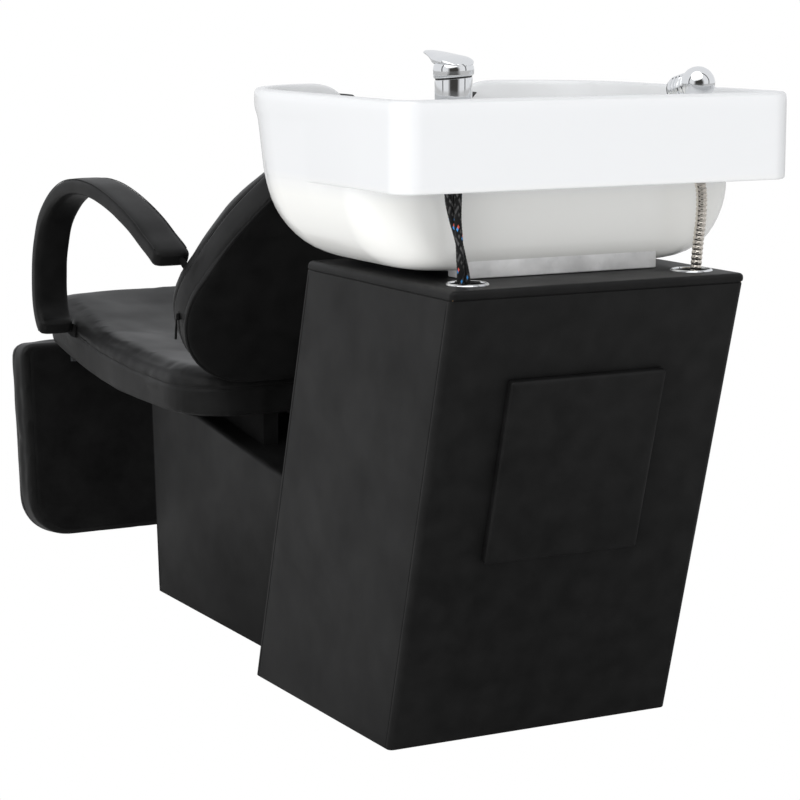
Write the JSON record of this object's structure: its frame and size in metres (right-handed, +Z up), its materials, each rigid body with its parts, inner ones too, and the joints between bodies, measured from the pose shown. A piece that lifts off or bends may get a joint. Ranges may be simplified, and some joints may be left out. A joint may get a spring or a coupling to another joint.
{
  "type": "shampoo backwash unit",
  "caption": "Salon backwash unit: upholstered reclined seat with looped armrests and hinged leg rest, joined to a leaning pedestal with a tilting ceramic basin, tap and hand shower.",
  "frame": {"origin": "on the floor, under the middle of the unit's box without its hoses", "axes": "+Z up, -Y the way the sitter faces, +X the sitter's left"},
  "size_m": [0.5988, 1.51, 0.9315],
  "materials": {
    "carcass_wood": "raw board",
    "pedestal_leatherette": "smooth black leatherette, semi-matt",
    "seat_leatherette": "smooth black leatherette, soft sheen",
    "leg_rest_backing": "black backing cloth",
    "arm_skin": "integral skin polyurethane, semi-matt",
    "black_steel": "black powder coat",
    "zinc_steel": "zinc plated",
    "black_plastic": "moulded",
    "peg_plastic": "moulded",
    "ceramic": "white glaze",
    "black_rubber": "matt",
    "chrome": "polished plating",
    "brass": "nickel plated brass",
    "braided_hose": "black braid with blue and red tracer threads",
    "metal_hose": "interlocked metal strip"
  },
  "bodies": {
    "stand": {"pedestal_left_panel": "carcass_wood", "pedestal_right_panel": "carcass_wood", "pedestal_front_panel": "carcass_wood", "pedestal_rear_panel": "carcass_wood", "pedestal_top_board": "carcass_wood", "pedestal_floor_frame": "carcass_wood", "pedestal_cover": "pedestal_leatherette", "base_left_panel": "carcass_wood", "base_right_panel": "carcass_wood", "base_front_panel": "carcass_wood", "base_top_board": "carcass_wood", "base_cover": "pedestal_leatherette", "floor_glides": "black_plastic", "joining_bolts": "zinc_steel", "hose_grommet_left": "chrome", "hose_grommet_right": "chrome", "seat_risers": "black_steel", "seat_board": "carcass_wood", "seat_cushion": "seat_leatherette", "backrest_brackets": "black_steel", "backrest_board": "carcass_wood", "backrest_cushion": "seat_leatherette", "backrest_rear_pad": "seat_leatherette", "backrest_bolts": "zinc_steel", "zip_slider": "zinc_steel", "armrest_left": "arm_skin", "armrest_right": "arm_skin", "armrest_plates": "black_steel", "leg_rest_hinge_plates": "zinc_steel", "tilt_base_plate": "zinc_steel", "tilt_pin": "zinc_steel", "cold_supply_hose": "braided_hose", "hot_supply_hose": "braided_hose", "mixed_water_hose": "braided_hose", "shower_hose": "metal_hose", "supply_hose_nuts": "brass", "hose_coupling": "brass"},
    "basin": {"basin": "ceramic", "neck_rest": "black_rubber", "basin_saddle": "ceramic", "tilt_top_plate": "zinc_steel", "waste_flange": "chrome", "waste_nut": "brass", "waste_tail": "chrome", "tap_body": "chrome", "tap_seal": "black_rubber", "tap_lock_nut": "brass", "shower_holder": "chrome"},
    "strainer": {"strainer": "chrome"},
    "tap_turn": {"tap_spindle": "chrome"},
    "tap_lever": {"tap_lever": "chrome"},
    "hand_shower": {"hand_shower": "chrome", "spray_face": "black_plastic"},
    "leg_rest": {"leg_rest_board": "leg_rest_backing", "leg_rest_cushion": "seat_leatherette", "leg_rest_arms": "zinc_steel", "leg_rest_pins": "zinc_steel"},
    "access_panel": {"access_panel_board": "carcass_wood", "access_panel_pad": "pedestal_leatherette", "access_panel_pegs": "peg_plastic"}
  },
  "joints": [
    {"name": "basin_tilt", "type": "hinge", "parent": "stand", "child": "basin", "pos_m": [0, 0.362, 0.645], "axis": [1, 0, 0], "range_deg": [0, 5]},
    {"name": "strainer_lift", "type": "slide", "parent": "basin", "child": "strainer", "axis": [0, 0, 1], "range_m": [0, 0.05]},
    {"name": "tap_turn", "type": "hinge", "parent": "basin", "child": "tap_turn", "pos_m": [0.184, 0.69, 0.9], "axis": [0, 0, 1], "range_deg": [-50, 50]},
    {"name": "tap_lift", "type": "hinge", "parent": "tap_turn", "child": "tap_lever", "pos_m": [0.184, 0.715, 0.895], "axis": [-1, 0, 0], "range_deg": [0, 18]},
    {"name": "hand_shower_pull", "type": "slide", "parent": "basin", "child": "hand_shower", "axis": [0, 0, 1], "range_m": [0, 0.09]},
    {"name": "leg_rest_lift", "type": "hinge", "parent": "stand", "child": "leg_rest", "pos_m": [0, -0.686, 0.398], "axis": [-1, 0, 0], "range_deg": [0, 80]},
    {"name": "access_panel_pull", "type": "slide", "parent": "stand", "child": "access_panel", "axis": [0, 0.9659, -0.2588], "range_m": [0, 0.06]}
  ]
}
